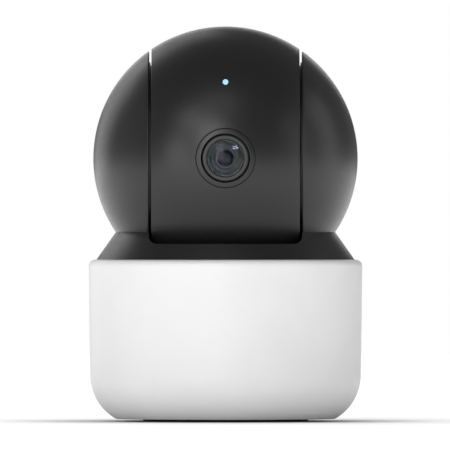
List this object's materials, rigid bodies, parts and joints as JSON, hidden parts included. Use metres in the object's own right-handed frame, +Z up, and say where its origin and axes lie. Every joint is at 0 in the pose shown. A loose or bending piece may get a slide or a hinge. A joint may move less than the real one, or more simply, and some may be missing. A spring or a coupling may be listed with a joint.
{
  "type": "security camera",
  "caption": "Indoor pan-and-tilt security camera: a black ball head with a tilting lens drum between two cheeks, on a round white base.",
  "frame": {"origin": "centre of the underside of the rubber foot, where the camera stands", "axes": "+Z up; the lens looks along -Y at rest; +X is to the right as one faces the lens"},
  "size_m": [0.078, 0.078, 0.1124],
  "materials": {
    "white_plastic": "satin moulded white plastic",
    "black_plastic": "satin moulded black plastic",
    "lens_metal": "black anodised aluminium",
    "chassis_plastic": "matt moulded grey plastic",
    "nylon": "natural nylon",
    "rubber": "matt black rubber",
    "brass": "machined brass",
    "steel": "zinc plated steel",
    "aluminium": "plain extruded aluminium",
    "circuit_board": "green solder mask",
    "component_black": "moulded epoxy",
    "cable_film": "amber polyimide film",
    "lens_glass": "coated optical glass",
    "light_guide": "clear blue-lit acrylic"
  },
  "bodies": {
    "base": {"base_shell": "white_plastic", "bottom_cover": "white_plastic", "foot_ring": "rubber", "tripod_insert": "brass", "cover_screws": "steel", "pan_deck": "chassis_plastic", "deck_screws": "steel", "pan_bush": "nylon", "pan_motor": "steel", "pan_motor_screws": "steel", "base_board": "circuit_board", "board_screws": "steel", "usb_socket": "steel", "card_socket": "steel", "reset_switch": "chassis_plastic", "speaker": "component_black", "speaker_gasket": "rubber", "base_lead": "cable_film"},
    "pan_drive": {"pan_pinion": "nylon", "pan_shaft": "steel"},
    "button": {"reset_button": "chassis_plastic"},
    "card": {"memory_card": "component_black"},
    "yoke": {"collar": "black_plastic", "pan_gear": "nylon", "gear_screws": "steel", "spindle_clip": "steel", "left_arm": "black_plastic", "right_arm": "black_plastic", "arm_screws": "steel", "left_cheek": "black_plastic", "right_cheek": "black_plastic", "left_bush": "nylon", "tilt_gear": "nylon", "flex_cable": "cable_film"},
    "drum": {"front_shell": "black_plastic", "rear_shell": "black_plastic", "left_plate": "black_plastic", "right_plate": "black_plastic", "right_bush": "nylon", "tilt_motor": "steel", "tilt_motor_screws": "steel", "lens_bezel": "black_plastic", "lens_barrel": "lens_metal", "front_lens": "lens_glass", "inner_lens": "lens_glass", "lens_holder": "chassis_plastic", "sensor_board": "circuit_board", "image_sensor": "component_black", "led_pipe": "light_guide", "status_led": "light_guide", "ir_board": "circuit_board", "ir_leds": "component_black", "spacers": "brass", "main_board": "circuit_board", "main_chip": "component_black", "heat_spreader": "aluminium", "stack_screws": "steel", "wifi_antenna": "cable_film"},
    "tilt_drive": {"tilt_pinion": "nylon"}
  },
  "joints": [
    {"name": "pan", "type": "hinge", "parent": "base", "child": "yoke", "pos_m": [0, 0, 0.034], "axis": [0, 0, 1], "range_deg": [-175, 175]},
    {"name": "pan_drive_spin", "type": "hinge", "parent": "base", "child": "pan_drive", "pos_m": [0, -0.028, 0.03], "axis": [0, 0, 1], "range_deg": [-645, 645]},
    {"name": "tilt", "type": "hinge", "parent": "yoke", "child": "drum", "pos_m": [0, 0, 0.0747], "axis": [-1, 0, 0], "range_deg": [-22, 75]},
    {"name": "tilt_drive_spin", "type": "hinge", "parent": "drum", "child": "tilt_drive", "pos_m": [0.017, 0.01494, 0.06607], "axis": [-1, 0, 0], "range_deg": [-65, 215]},
    {"name": "reset_press", "type": "slide", "parent": "base", "child": "button", "axis": [0, -1, 0], "range_m": [0, 0.0004], "stiffness_N_per_m": 600},
    {"name": "card_slide", "type": "slide", "parent": "base", "child": "card", "axis": [0, 1, 0], "range_m": [0, 0.014]}
  ],
  "couplings": [
    {"joint": "pan_drive_spin", "follows": "pan", "ratio": -3.6667},
    {"joint": "tilt_drive_spin", "follows": "tilt", "ratio": 2.8333}
  ]
}
